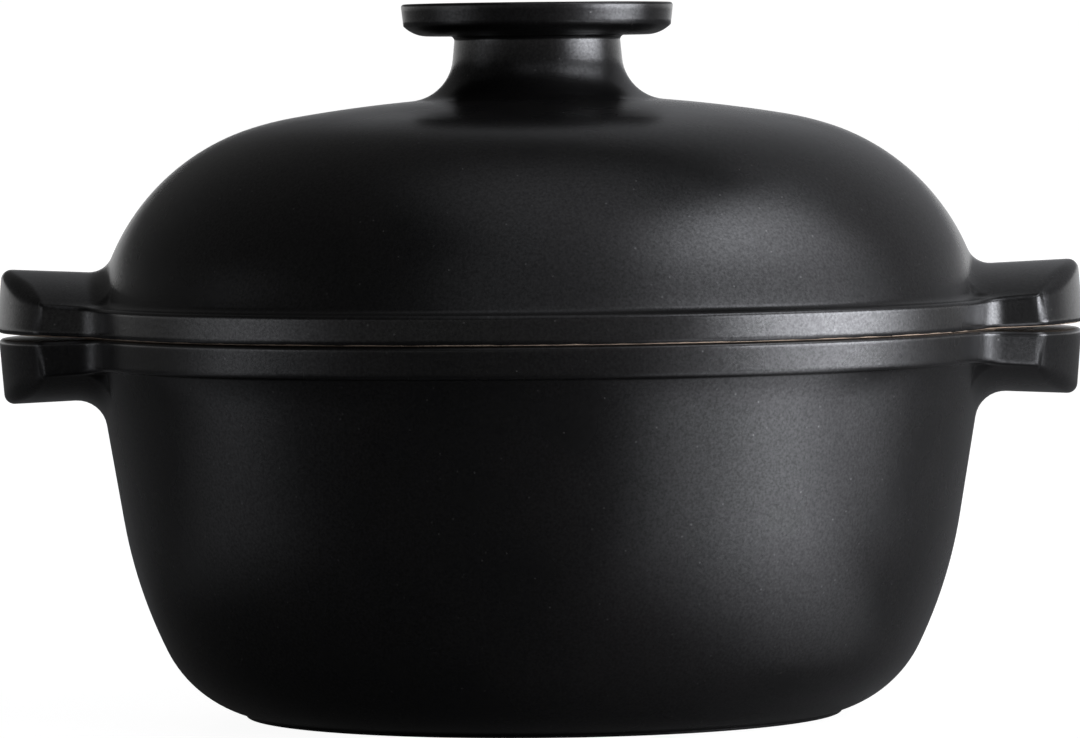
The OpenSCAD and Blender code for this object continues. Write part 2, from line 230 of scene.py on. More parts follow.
class StageLook(bpy.types.PropertyGroup):
    """The white floor and backdrop, the soft lamps and the camera."""

    camera_distance: length("Camera distance", "From the camera to the pot's axis", 2.19)
    camera_height: length("Camera height", "Height of the camera over the table", 0.187)
    aim_height: length("Aim height", "Height on the pot's axis at the middle of the frame", 0.1018)
    aim_side: length("Aim side", "How far right of the axis the frame's middle lies", -0.0002)
    camera_roll: angle("Camera roll", "How far the camera leans over", 0.6)
    lens: number("Focal length", "Focal length on a 36 mm frame", 246.7)
    wall_radius: length("Wall radius", "Radius of the round backdrop", 6.5)
    wall_height: length("Wall height", "Height of the round backdrop", 0.9)
    floor: colour("Floor", "Colour of the floor and backdrop", "#4d4d4d")
    glow: number("White level", "Strength at which the floor shows white close to the pot", 0.94)
    glow_end: length("White distance", "Distance from the axis at which the white is full", 1.2)
    # Painted shade: close to the pot, reflections of the paper find only this share of its glow,
    # standing in for the pot's shadow on the paper
    shade: number("Shade", "Share of the white which reflections find close to the pot", 0.02)
    shade_start: length("Shade start", "Distance from the axis where that shade starts to fade", 5)
    shade_end: length("Shade end", "Distance from the axis at which that shade ends", 6.5)
    tint: colour("Lamp tint", "Colour of the soft boxes", "#f6f8ff")
    key: number("Key strength", "Radiance of the low soft box on the right", 34)
    key_high: number("High key strength", "Radiance of the soft box above it", 6.5)
    key_card: number("Card strength", "Radiance of the card to the right of the pot", 8.5)
    front_card: number("Front card strength", "Radiance of the card in front of it", 11)
    side_card: number("Second card strength", "Radiance of the card farther to the front", 5.5)
    fill: number("Fill strength", "Radiance of the low soft box on the left", 3)
    fill_high: number("High fill strength", "Radiance of the soft box above it", 0.5)
    fill_card: number("Left card strength", "Radiance of the card to the left of the pot", 1.9)
    rear: number("Rear strength", "Radiance of the screen behind the pot, on the right", 0.28)
    front: number("Front strength", "Radiance of the high screen on the camera's side", 0.6)
    top: number("Top strength", "Radiance of the screen overhead", 0.9)
    top_right: number("Right top strength", "Radiance of the screen overhead, on the right", 2.1)
    room: number("Room strength", "Radiance of the dim room", 0.1)


# Geometry helpers. A section is an array of (radius, height) points, a ring is one (x, y, z) point
# for each station round the outline.


def turn(a):
    """Unit vectors at angles."""
    return np.stack((np.cos(a), np.sin(a)), -1)


def arc(centre, radius, start, end, steps):
    """Points of an arc, from angle start to angle end."""
    return np.asarray(centre) + radius * turn(np.linspace(start, end, steps + 1))


def line(start, end, steps):
    """Points of a straight stretch, without its ends."""
    t = np.linspace(0, 1, steps + 1)[1:-1, None]
    return np.asarray(start) * (1 - t) + np.asarray(end) * t


def smoothstep(x):
    x = np.clip(x, 0, 1)
    return x * x * (3 - 2 * x)


def outline(lugs, rim_radius):
    """Points and outward directions round a rim with its two lugs, in plan."""
    half = lugs.width / 2
    corner_y = half - lugs.corner_radius
    end = np.array((rim_radius + lugs.out - lugs.end_radius, 0))
    inner = lugs.end_radius - lugs.corner_radius
    corner = end + (math.sqrt(inner**2 - corner_y**2), corner_y)
    corner_turn = math.asin(corner_y / inner)
    side_turn = math.pi / 2 - lugs.taper
    normal = turn(side_turn)
    along = turn(-lugs.taper)
    offset = normal @ corner + lugs.corner_radius + lugs.root_radius
    root = offset * normal + math.sqrt((rim_radius + lugs.root_radius) ** 2 - offset**2) * along
    root_turn = math.atan2(root[1], root[0])

    side_start = corner + lugs.corner_radius * normal
    side_end = root - lugs.root_radius * normal

    def stretch(centre, radius, start, stop, steps, outward):
        a = np.linspace(start, stop, steps + 1)[:-1]
        return centre + radius * turn(a), outward * turn(a)

    t = np.linspace(0, 1, 5)[:-1, None]
    pieces = (
        stretch(end, lugs.end_radius, 0, corner_turn, 13, 1),
        stretch(corner, lugs.corner_radius, corner_turn, side_turn, 12, 1),
        (side_start * (1 - t) + side_end * t, np.repeat(normal[None], len(t), 0)),
        stretch(root, lugs.root_radius, side_turn + math.pi, root_turn + math.pi, 12, -1),
        stretch(np.zeros(2), rim_radius, root_turn, math.pi / 2, 76, 1),
    )
    points = np.concatenate([p for p, _ in pieces] + [[[0, rim_radius]]])
    directions = np.concatenate([n for _, n in pieces] + [[[0, 1]]])
    flip_x, flip_y = np.array((-1, 1)), np.array((1, -1))

    def whole(q):
        upper = np.concatenate((q, q[-2::-1] * flip_x))
        return np.concatenate((upper, upper[-2:0:-1] * flip_y))

    return whole(points), whole(directions)


def flange_rings(lugs, flange):
    """Rings of a rim and its lugs, from the wall in to the seat. Heights are measured from the
    seat, up on the lid and down on the pot."""
    plan, outward = outline(lugs, flange.rim_radius)
    reach = np.linalg.norm(plan, axis=1)
    ray = plan / reach[:, None]
    beyond = reach - flange.rim_radius
    edge = lugs.edge
    on_lug = smoothstep(beyond / LUG_START)
    open_share = GAP_AT_RIM * on_lug + (1 - GAP_AT_RIM) * smoothstep(beyond / lugs.out)
    low = lugs.gap / 2 * open_share
    draft = flange.draft + (lugs.draft - flange.draft) * smoothstep(beyond / DRAFT_START)
    diagonal = (2 * outward[:, 0] * outward[:, 1]) ** 2
    cornered = diagonal * smoothstep(beyond / (CORNER_START * lugs.out))
    draft = draft + lugs.corner_draft * cornered
    fall = flange.ridge - flange.band
    bend = ((lugs.width / 2) ** 2 + fall**2) / (2 * fall)
    slope = lugs.rise / lugs.out

    def face(p):
        """Height of the crowned face: a ridge along X that eases into the rim's level face."""
        across = np.minimum(np.abs(p[..., 1]), 0.9 * bend)
        along = np.abs(p[..., 0]) - flange.rim_radius
        ridge = flange.ridge + along * slope - bend + np.sqrt(bend**2 - across**2)
        lift = ridge - flange.band
        return flange.band + (lift + np.sqrt(lift**2 + lugs.toe**2)) / 2

    def slope_along(p, direction):
        step = 0.05 * MM
        return (face(p + direction * step) - face(p - direction * step)) / (2 * step)

    def ring(offset, height):
        """Points at a distance outside the outline."""
        return np.concatenate((plan + outward * offset[:, None], height[:, None]), 1)

    # Edge between the drafted side and the crowned face, softer towards the lug's end
    side_out = edge * (np.cos(draft) - 1)
    side_low = low + edge + edge * np.sin(draft)
    along_lug = (np.abs(plan[:, 0]) - flange.rim_radius) / lugs.out
    end_round = lugs.end_round + (lugs.corner_round - lugs.end_round) * cornered
    toward_end = smoothstep((along_lug - ROUND_START) / (ROUND_END - ROUND_START))
    upper = edge + (end_round - edge) * toward_end
    corner_out = side_out.copy()
    for _ in range(4):
        corner_height = face(plan + outward * corner_out[:, None])
        corner_out = side_out - (corner_height - side_low) * np.tan(draft)
    fall_angle = -np.arctan(slope_along(plan + outward * corner_out[:, None], outward))
    edge_turn = math.pi / 2 - fall_angle - draft
    tangent = upper * np.tan(edge_turn / 2)
    start_out = corner_out - tangent * np.cos(fall_angle)
    start_height = corner_height + tangent * np.sin(fall_angle)
    centre_out = start_out - upper * np.sin(fall_angle)
    centre_height = start_height - upper * np.cos(fall_angle)
    upper_edge = []
    for t in np.linspace(0, 1, 8):
        a = fall_angle + t * edge_turn
        out, height = centre_out + upper * np.sin(a), centre_height + upper * np.cos(a)
        upper_edge.append(ring(out, height))
    side_top_out = centre_out + upper * np.cos(draft)
    side_top = centre_height + upper * np.sin(draft)

    # Cove between the face and the wall
    cove_growth = smoothstep(beyond / COVE_START)
    cove = flange.rim_cove + (flange.lug_cove - flange.rim_cove) * cove_growth
    face_radius = np.minimum(flange.wall_radius(flange.band) + cove, reach - edge)
    wall_height = flange.band + cove
    for _ in range(8):
        foot = ray * face_radius[:, None]
        grade = slope_along(foot, ray)
        face_normal = np.stack((-grade, np.ones_like(grade)), 1) / np.sqrt(1 + grade**2)[:, None]
        lean = flange.wall_lean(wall_height)
        wall_normal = turn(lean)
        on_face = np.stack((face_radius, face(foot)), 1)
        on_wall = np.stack((flange.wall_radius(wall_height), wall_height), 1)
        system = np.stack((face_normal, wall_normal), 1)
        known = np.stack((
            np.sum(face_normal * on_face, 1) + cove,
            np.sum(wall_normal * on_wall, 1) + cove,
        ), 1)
        centre = np.linalg.solve(system, known[:, :, None])[:, :, 0]
        face_radius = (centre - cove[:, None] * face_normal)[:, 0]
        wall_height = (centre - cove[:, None] * wall_normal)[:, 1]
    face_angle = np.arctan2(-face_normal[:, 1], -face_normal[:, 0])
    wall_angle = lean - math.pi
    cove_rings = []
    for t in np.linspace(0, 1, 9):
        p = centre + cove[:, None] * turn(wall_angle + (face_angle - wall_angle) * t)
        cove_rings.append(np.concatenate((ray * p[:, :1], p[:, 1:]), 1))

    rings = []
    for t in np.linspace(0, 1, 9)[:-1]:
        h = flange.clear_height + (wall_height - flange.clear_height) * t
        rings.append(np.concatenate((ray * flange.wall_radius(h)[:, None], h[:, None]), 1))
    rings += cove_rings
    cove_foot = cove_rings[-1][:, :2]
    face_edge = upper_edge[0][:, :2]
    for t in (0.05, 0.2, 0.4, 0.6, 0.8, 0.95):
        p = cove_foot * (1 - t) + face_edge * t
        rings.append(np.concatenate((p, face(p)[:, None]), 1))
    rings += upper_edge
    for t in (0.08, 0.36, 0.64, 0.92):
        rings.append(ring(side_top_out * (1 - t) + side_out * t, side_top * (1 - t) + side_low * t))
    for t in np.linspace(0, 1, 8):
        a = draft * (1 - t) - math.pi / 2 * t
        rings.append(ring(edge * (np.cos(a) - 1), low + edge + edge * np.sin(a)))

    # Flat face of the lugs, and the small step from it to the rim's seat
    steps = np.array((-0.3, 0.05, 0.35, 0.75, 1.3)) * MM  # distances in from the rim
    inside = np.clip(steps, 0, edge)
    rise = edge - np.sqrt(np.maximum(0, edge**2 - (edge - inside) ** 2))
    for k, step in enumerate(steps):
        plain = -edge - SEAT_STEP * (k + 1)
        radius = flange.rim_radius + plain * (1 - on_lug) - step * on_lug
        height = np.minimum(low, rise[k] if step > 0 else low)
        rings.append(np.concatenate((ray * radius[:, None], height[:, None]), 1))
    inner_radius = flange.rim_radius - edge - SEAT_START
    rings.append(np.concatenate((ray * inner_radius, np.zeros((len(ray), 1))), 1))
    rings = np.array(rings)
    seat_distance = rings[:, :, 2] - low[None]
    return rings, seat_distance, ray, inner_radius


def circle_rings(section, ray):
    """Rings of a section turned round the axis."""
    section = np.asarray(section)
    plan = section[:, None, :1] * ray[None]
    height = np.repeat(section[:, None, 1:], len(ray), 1)
    return np.concatenate((plan, height), 2)


def shell_mesh(name, rings, seat_distance, outward_first):
    """Closed mesh through rings, with a pole at each end. seat_distance is kept on each point."""
    count, stations = rings.shape[:2]
    first = [0, 0, rings[0, 0, 2]]
    last = [0, 0, rings[-1, 0, 2]]
    points = np.concatenate((rings.reshape(-1, 3), [first, last]))
    distance = np.concatenate((seat_distance.ravel(), [seat_distance[0, 0], seat_distance[-1, 0]]))
    j, i = np.meshgrid(np.arange(count - 1), np.arange(stations), indexing="ij")
    k = (i + 1) % stations
    this, after = j * stations, (j + 1) * stations
    quads = np.stack((this + i, after + i, after + k, this + k), -1).reshape(-1, 4)
    i = np.arange(stations)
    k = (i + 1) % stations
    top = np.stack((np.full(stations, count * stations), i, k), -1)
    base = (count - 1) * stations
    bottom = np.stack((np.full(stations, count * stations + 1), base + k, base + i), -1)
    if not outward_first:
        quads, top, bottom = quads[:, ::-1], top[:, ::-1], bottom[:, ::-1]
    mesh = bpy.data.meshes.new(name)
    mesh.from_pydata(points.tolist(), [], quads.tolist() + top.tolist() + bottom.tolist())
    mesh.shade_smooth()
    attribute = mesh.attributes.new("seat_distance", "FLOAT", "POINT")
    attribute.data.foreach_set("value", distance.astype(np.float32))
    if mesh.validate():
        raise RuntimeError(f"{name}: the mesh has a bad face")
    return mesh


def add_shell(context, name, mesh, material, cad_node):
    """Puts a piece in the scene in place of its solid."""
    shell = bpy.data.objects.new(name, mesh)
    shell.data.materials.append(material)
    context.scene.collection.objects.link(shell)
    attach(shell, "root")
    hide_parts(cad_node)


def mouth_radius(pot):
    """Inner radius of the pot at its seat."""
    wall = pot.rim_radius - pot.overhang + pot.band * math.tan(pot.wall_lean)
    return wall - pot.wall / math.cos(pot.wall_lean)


def pot_rings(pot, lugs):
    """Rings of the pot, from the middle of its base over the rim to the middle of its floor."""
    edge = lugs.edge
    wall_top_z = SEAT_Z - pot.band
    wall_top_r = pot.rim_radius - pot.overhang
    corner_z = pot.foot_height + pot.corner_radius * math.sin(pot.corner_end)
    belly_z = corner_z + (pot.belly_radius - pot.corner_radius) * math.sin(pot.belly_end)
    belly_top_z = belly_z - pot.belly_radius * math.sin(pot.wall_lean)

    def wall_radius(z):
        return wall_top_r - (wall_top_z - z) * math.tan(pot.wall_lean)

    belly_x = wall_radius(belly_top_z) - pot.belly_radius * math.cos(pot.wall_lean)
    corner_x = belly_x + (pot.belly_radius - pot.corner_radius) * math.cos(pot.belly_end)
    foot_r = corner_x + pot.corner_radius * math.cos(pot.corner_end)
    inner_belly = pot.belly_radius - pot.wall
    inner_reach = inner_belly - pot.inner_corner
    inner_turn = math.asin((belly_z - pot.floor - pot.inner_corner) / inner_reach)
    inner_corner_x = belly_x + inner_reach * math.cos(inner_turn)
    inner_corner_z = pot.floor + pot.inner_corner
    clear_z = SEAT_Z - POT_CLEAR
    mouth_r = mouth_radius(pot)

    def flare_share(h):
        return np.clip(1 - (np.asarray(h) - pot.band) / pot.flare_reach, 0, 1)

    def flare_lean(h):
        return np.arctan(math.tan(pot.wall_lean) + 2 * pot.flare * flare_share(h) / pot.flare_reach)

    flange = SimpleNamespace(
        rim_radius=pot.rim_radius,
        band=pot.band,
        draft=pot.band_draft,
        ridge=lugs.pot_ridge,
        rim_cove=pot.rim_cove,
        lug_cove=lugs.pot_cove,
        clear_height=POT_CLEAR,
        wall_radius=lambda h: wall_radius(SEAT_Z - h) + pot.flare * flare_share(h) ** 2,
        wall_lean=flare_lean,
    )
    flange_part, distance, ray, seat_radius = flange_rings(lugs, flange)
    flange_part = flange_part * (1, 1, -1) + (0, 0, SEAT_Z)

    ring_in = foot_r - pot.foot_ring
    recess = pot.foot_recess
    foot_round = 0.5 * pot.foot_height
    below = np.concatenate((
        line((0, recess), (ring_in, recess), 6),
        arc((ring_in, 0), recess, math.pi / 2, 0, 4),
        line((ring_in + recess, 0), (foot_r - foot_round, 0), 4),
        arc((foot_r - foot_round, foot_round), foot_round, -math.pi / 2, 0, 4),
        arc((corner_x, corner_z), pot.corner_radius, -pot.corner_end, -pot.belly_end, 16)[:-1],
        arc((belly_x, belly_z), pot.belly_radius, -pot.belly_end, -pot.wall_lean, 12),
        line((wall_radius(belly_top_z), belly_top_z), (wall_radius(clear_z), clear_z), 6),
    ))
    mouth = arc((mouth_r + edge, SEAT_Z - edge), edge, math.pi / 2, math.pi - pot.wall_lean, 6)
    inner_wall = arc((belly_x, belly_z), inner_belly, -pot.wall_lean, -inner_turn, 8)
    inside = np.concatenate((
        line((seat_radius, SEAT_Z), mouth[0], 3),
        mouth,
        line(mouth[-1], inner_wall[0], 10),
        inner_wall[:-1],
        arc((inner_corner_x, inner_corner_z), pot.inner_corner, -inner_turn, -math.pi / 2, 12),
        line((inner_corner_x, pot.floor), (0, pot.floor), 6),
    ))
    rings = np.concatenate((circle_rings(below, ray), flange_part, circle_rings(inside, ray)))
    seat_distance = np.concatenate((
        np.full((len(below), len(ray)), SEAT_Z),
        distance,
        np.abs(SEAT_Z - inside[:, 1:]) * np.ones((1, len(ray))),
    ))
    return rings, seat_distance


def lid_rings(lid, knob, lugs, mouth_r):
    """Rings of the lid, from the middle of its knob over the rim to the middle of its hollow."""
    edge = lugs.edge
    sin, cos, quarter = math.sin, math.cos, math.pi / 2
    slope, haunch_end, crown_end = lid.skirt_slope, lid.haunch_end, lid.crown_end
    lean = quarter - slope
    curve_w = lid.shoulder_radius * (sin(slope) - sin(haunch_end))
    curve_w += lid.haunch_radius * (sin(haunch_end) - sin(crown_end))
    curve_h = lid.shoulder_radius * (cos(haunch_end) - cos(slope))
    curve_h += lid.haunch_radius * (cos(crown_end) - cos(haunch_end))
    sag = math.tan(crown_end / 2)
    grade = math.tan(lean)
    drop = lid.band - lid.dome + curve_h - sag * curve_w
    crown_w = (lid.rim_radius - lid.ledge + grade * drop) / (1 - grade * sag) - curve_w
    crown_r = crown_w / sin(crown_end)
    crown = np.array((0, lid.dome - crown_r))
    haunch = crown + (crown_r - lid.haunch_radius) * turn(quarter - crown_end)
    shoulder = haunch + (lid.haunch_radius - lid.shoulder_radius) * turn(quarter - haunch_end)
    skirt = shoulder + lid.shoulder_radius * turn(quarter - slope)

    def wall_radius(h):
        h = np.asarray(h, float)
        straight = skirt[0] + (skirt[1] - h) * grade
        over = np.clip(h - shoulder[1], 0, lid.shoulder_radius)
        curved = shoulder[0] + np.sqrt(lid.shoulder_radius**2 - over**2)
        return np.where(h > skirt[1], curved, straight)

    def wall_lean(h):
        over = np.clip((h - shoulder[1]) / lid.shoulder_radius, 0, 1)
        return np.maximum(lean, np.arcsin(over))

    flange = SimpleNamespace(
        rim_radius=lid.rim_radius,
        band=lid.band,
        draft=0,
        ridge=lugs.lid_ridge,
        rim_cove=lid.rim_cove,
        lug_cove=lugs.lid_cove,
        clear_height=LID_CLEAR,
        wall_radius=wall_radius,
        wall_lean=wall_lean,
    )
    flange_part, distance, ray, seat_radius = flange_rings(lugs, flange)
    flange_part = flange_part + (0, 0, SEAT_Z)

    under_z = knob.top - knob.edge - knob.under_height
    neck_offset = knob.neck * cos(knob.neck_lean) + (under_z - crown[1]) * sin(knob.neck_lean)
    neck_reach = crown_r + knob.neck_cove
    neck_turn = math.asin((neck_offset + knob.neck_cove) / neck_reach) - knob.neck_lean
    neck_centre = crown + neck_reach * turn(quarter - neck_turn)
    neck_side = 2 * quarter + knob.neck_lean
    under_turn = math.asin(1 - knob.under_height / knob.under)
    clear_turn = math.asin((LID_CLEAR - shoulder[1]) / lid.shoulder_radius)
    round_r, round_z = knob.radius - knob.top_round, knob.top - knob.top_round
    edge_foot = (knob.radius - edge / 2, knob.top - knob.edge)
    under_r = edge_foot[0] - knob.under * cos(under_turn)
    cove_r = knob.neck + knob.disc_cove * (1 + sin(knob.neck_lean)) / cos(knob.neck_lean)
    above = np.concatenate((
        line((0, knob.top), (round_r, knob.top), 8),
        arc((round_r, round_z), knob.top_round, quarter, 0, 6),
        line((knob.radius, round_z), edge_foot, 4),
        arc((under_r, under_z + knob.under), knob.under, -under_turn, -quarter, 10),
        line((under_r, under_z), (cove_r, under_z), 4),
        arc((cove_r, under_z - knob.disc_cove), knob.disc_cove, quarter, neck_side, 7),
        arc(neck_centre, knob.neck_cove, neck_side, 3 * quarter - neck_turn, 14)[:-1],
        arc(crown, crown_r, quarter - neck_turn, quarter - crown_end, 10)[:-1],
        arc(haunch, lid.haunch_radius, quarter - crown_end, quarter - haunch_end, 6)[:-1],
        arc(shoulder, lid.shoulder_radius, quarter - haunch_end, clear_turn, 18)[:-1],
    ))
    ring_r = mouth_r - lid.ring_clearance
    ring_in = ring_r - lid.ring_wall
    ring_end = edge - lid.ring_depth
    inner_crown = crown_r - lid.wall
    inner_haunch = lid.haunch_radius - lid.wall
    inner_shoulder = lid.shoulder_radius - lid.wall
    inner_skirt = shoulder + inner_shoulder * turn(quarter - slope)
    entry_r = knob.core + lid.wall
    entry_z = crown[1] + math.sqrt(inner_crown**2 - entry_r**2)
    entry_turn = math.acos(entry_r / inner_crown)
    core_z = knob.top - knob.core_roof - knob.core
    inside = np.concatenate((
        line((seat_radius, 0), (ring_r + edge, 0), 3),
        arc((ring_r + edge, -edge), edge, quarter, 2 * quarter, 5),
        arc((ring_r - edge, ring_end), edge, 0, -quarter, 5),
        arc((ring_in + edge, ring_end), edge, -quarter, -2 * quarter, 5),
        line((ring_in, ring_end), inner_skirt, 6),
        arc(shoulder, inner_shoulder, quarter - slope, quarter - haunch_end, 14)[:-1],
        arc(haunch, inner_haunch, quarter - haunch_end, quarter - crown_end, 4)[:-1],
        arc(crown, inner_crown, quarter - crown_end, entry_turn, 8)[:-1],
        arc((entry_r, entry_z + lid.wall), lid.wall, -quarter, -2 * quarter, 6),
        arc((0, core_z), knob.core, 0, quarter, 10)[:-1],
    ))
    lift = (0, 0, SEAT_Z)
    rings = np.concatenate((
        circle_rings(above, ray) + lift,
        flange_part,
        circle_rings(inside, ray) + lift,
    ))
    seat_distance = np.concatenate((
        np.full((len(above), len(ray)), SEAT_Z),
        distance,
        np.abs(inside[:, 1:]) * np.ones((1, len(ray))),
    ))
    return rings, seat_distance


# Materials


def node(tree, kind, settings=None, **links):
    """Adds a node, with its settings and with its inputs set to a value or linked to a socket.
    An input is named by its label, with underscores for spaces, or by its place, as in i0."""
    new = tree.nodes.new(kind)
    for key, value in (settings or {}).items():
        setattr(new, key, value)
    for key, value in links.items():
        place = int(key[1:]) if key[0] == "i" and key[1:].isdigit() else key.replace("_", " ")
        socket = new.inputs[place]
        if isinstance(value, bpy.types.NodeSocket):
            tree.links.new(value, socket)
        else:
            socket.default_value = value
    return new


def new_material(name):
    material = bpy.data.materials.new(name)
    material.use_nodes = True
    material.node_tree.nodes.clear()
    return material, material.node_tree


def satin_glaze(name, look, bare_line):
    """Stoneware clay, dipped in a satin black glaze and fired. To the eye it is a dark body under
    a soft, slightly rippled gloss, with small beads and pale specks. Where the glaze was wiped off
    the seat, the bare clay shows as a dull tan line."""
    material, tree = new_material(name)
    place = node(tree, "ShaderNodeTexCoord").outputs["Object"]

    # The glaze lies in broad patches of a little more or less colour and gloss
    patches = node(
        tree, "ShaderNodeTexNoise", Vector=place, Scale=1 / look.patch, Detail=3, Roughness=0.55,
    )
    tint = node(
        tree, "ShaderNodeMapRange", Value=patches.outputs[0], From_Min=0.35, From_Max=0.7,
    )
    body = node(
        tree, "ShaderNodeMix", {"data_type": "RGBA"}, Factor=tint.outputs[0],
        i6=look.glaze[:], i7=look.glaze_thin[:],
    )
    gloss = node(
        tree, "ShaderNodeMapRange", Value=patches.outputs[0], From_Min=0.3, From_Max=0.7,
        To_Min=look.roughness - look.roughness_spread,
        To_Max=look.roughness + look.roughness_spread,
    )

    # Small beads, each with a trace of a pale speck in its middle
    cells = node(tree, "ShaderNodeTexVoronoi", Vector=place, Scale=1 / look.bead_spacing)
    bead = node(
        tree, "ShaderNodeMapRange", Value=cells.outputs["Distance"], From_Max=0.11,
        To_Min=1, To_Max=0,
    )
    speck = node(
        tree, "ShaderNodeMapRange", Value=cells.outputs["Distance"],
        From_Min=0.02, From_Max=0.05, To_Min=look.speck_share, To_Max=0,
    )
    speckled = node(
        tree, "ShaderNodeMix", {"data_type": "RGBA"}, Factor=speck.outputs[0],
        i6=body.outputs[2], i7=look.speck[:],
    )

    # Waves from the melt, then the fine grain that makes the glaze satin, then the beads
    peel = node(
        tree, "ShaderNodeTexNoise", Vector=place, Scale=1 / look.peel, Detail=2, Roughness=0.5,
    )
    peel_bump = node(tree, "ShaderNodeBump", Distance=look.peel_depth, Height=peel.outputs[0])
    grain = node(
        tree, "ShaderNodeTexNoise", Vector=place, Scale=1 / look.grain, Detail=2, Roughness=0.6,
    )
    grain_bump = node(
        tree, "ShaderNodeBump", Distance=look.grain_depth, Height=grain.outputs[0],
        Normal=peel_bump.outputs[0],
    )
    bead_bump = node(
        tree, "ShaderNodeBump", Distance=look.bead_height, Height=bead.outputs[0],
        Normal=grain_bump.outputs[0],
    )
    mottle = node(
        tree, "ShaderNodeMapRange", Value=grain.outputs[0], From_Min=0.3, From_Max=0.7,
        To_Min=(1 - look.mottle) * look.specular, To_Max=(1 + look.mottle) * look.specular,
    )
    sparkle = node(
        tree, "ShaderNodeMath", {"operation": "MULTIPLY_ADD"}, i0=bead.outputs[0],
        i1=look.specular, i2=mottle.outputs[0],
    )
    glaze = node(
        tree, "ShaderNodeBsdfPrincipled", Base_Color=speckled.outputs[2],
        Roughness=gloss.outputs[0], IOR=look.ior, Specular_IOR_Level=sparkle.outputs[0],
        Normal=bead_bump.outputs[0],
    )

    # Bare clay: dull, tan and grainy
    clay_grain = node(
        tree, "ShaderNodeTexNoise", Vector=place, Scale=1 / look.clay_grain,
        Detail=3, Roughness=0.7,
    )
    clay_tint = node(
        tree, "ShaderNodeMix", {"data_type": "RGBA"}, Factor=clay_grain.outputs[0],
        i6=look.clay[:], i7=look.clay_dark[:],
    )
    clay_bump = node(
        tree, "ShaderNodeBump", Distance=look.clay_relief, Height=clay_grain.outputs[0],
    )
    clay = node(
        tree, "ShaderNodeBsdfPrincipled", Base_Color=clay_tint.outputs[2], Roughness=0.85,
        IOR=1.45, Normal=clay_bump.outputs[0],
    )

    # The glaze ends in a wavy line, at about bare_line from the seat
    wave = node(
        tree, "ShaderNodeTexNoise", Vector=place, Scale=1 / look.bare_wave, Detail=2, Roughness=0.6,
    )
    line_end = node(
        tree, "ShaderNodeMapRange", Value=wave.outputs[0], From_Min=0.3, From_Max=0.7,
        To_Min=0.5 * bare_line, To_Max=1.5 * bare_line,
    )
    distance = node(tree, "ShaderNodeAttribute", {"attribute_name": "seat_distance"})
    short_of = node(
        tree, "ShaderNodeMath", {"operation": "SUBTRACT"}, i0=line_end.outputs[0],
        i1=distance.outputs["Fac"],
    )
    bare = node(
        tree, "ShaderNodeMapRange", Value=short_of.outputs[0], From_Max=look.bare_fade,
    )
    surface = node(
        tree, "ShaderNodeMixShader", Fac=bare.outputs[0], i1=glaze.outputs[0], i2=clay.outputs[0],
    )
    node(tree, "ShaderNodeOutputMaterial", Surface=surface.outputs[0])
    return material


def white_stage(look):
    """Seamless paper that shows plain white and takes the object's shadow. The camera finds the
    white at once. Reflections find the full white only from shade_start outwards: closer to the
    pot, the glow they see is cut down to the shade share by distance alone, a painted shade that
    stands in for the pot's shadow on the paper."""
    material, tree = new_material("seamless_paper")
    board = node(
        tree, "ShaderNodeBsdfPrincipled", Base_Color=look.floor[:], Roughness=0.6, IOR=1.5,
    )
    place = node(tree, "ShaderNodeTexCoord").outputs["Object"]
    distance = node(tree, "ShaderNodeVectorMath", {"operation": "LENGTH"}, i0=place)
    path = node(tree, "ShaderNodeLightPath")
    white = node(
        tree, "ShaderNodeMapRange", Value=distance.outputs["Value"], From_Max=look.glow_end,
        To_Min=look.glow, To_Max=1,
    )
    seen = node(
        tree, "ShaderNodeMath", {"operation": "MULTIPLY"},
        i0=path.outputs["Is Camera Ray"], i1=white.outputs[0],
    )
    # Painted shade: reflections and refractions close to the pot find only the shade share of the
    # white, rising to full white between shade_start and shade_end
    fade = node(
        tree, "ShaderNodeMapRange", Value=distance.outputs["Value"], From_Min=look.shade_start,
        From_Max=look.shade_end, To_Min=look.shade, To_Max=1,
    )
    mirrored = node(
        tree, "ShaderNodeMath", {"operation": "MAXIMUM"},
        i0=path.outputs["Is Glossy Ray"], i1=path.outputs["Is Transmission Ray"],
    )
    painted_shade_in_reflections = node(
        tree, "ShaderNodeMath", {"operation": "MULTIPLY"},
        i0=mirrored.outputs[0], i1=fade.outputs[0],
    )
    strength = node(
        tree, "ShaderNodeMath", {"operation": "MAXIMUM"},
        i0=seen.outputs[0], i1=painted_shade_in_reflections.outputs[0],
    )
    glow = node(tree, "ShaderNodeEmission", Color=(1, 1, 1, 1), Strength=strength.outputs[0])
    surface = node(tree, "ShaderNodeAddShader", i0=board.outputs[0], i1=glow.outputs[0])
    node(tree, "ShaderNodeOutputMaterial", Surface=surface.outputs[0])
    return material


# Operators


class CASSEROLE_OT_pot(bpy.types.Operator):
    """Make the pot's bowl, rim and lugs as one glazed shell"""

    bl_idname = "casserole.pot"
    bl_label = "Pot"
    bl_options = {"REGISTER", "UNDO"}

    def execute(self, context):
        scene = context.scene
        look = scene.casserole_glaze
        rings, distance = pot_rings(scene.casserole_pot, scene.casserole_lugs)
        mesh = shell_mesh("pot_shell", rings, distance, outward_first=False)
        glaze = satin_glaze("satin_black_glaze_on_pot", look, 0)
        add_shell(context, "pot_shell", mesh, glaze, "pot")
        return {"FINISHED"}


class CASSEROLE_OT_lid(bpy.types.Operator):
    """Make the lid's dome, knob, rim and lugs as one glazed shell"""

    bl_idname = "casserole.lid"
    bl_label = "Lid"
    bl_options = {"REGISTER", "UNDO"}

    def execute(self, context):
        scene = context.scene
        look = scene.casserole_glaze
        mouth_r = mouth_radius(scene.casserole_pot)
        rings, distance = lid_rings(
            scene.casserole_lid, scene.casserole_knob, scene.casserole_lugs, mouth_r
        )
        mesh = shell_mesh("lid_shell", rings, distance, outward_first=True)
        glaze = satin_glaze("satin_black_glaze_on_lid", look, look.bare_line)
        add_shell(context, "lid_shell", mesh, glaze, "lid")
        return {"FINISHED"}


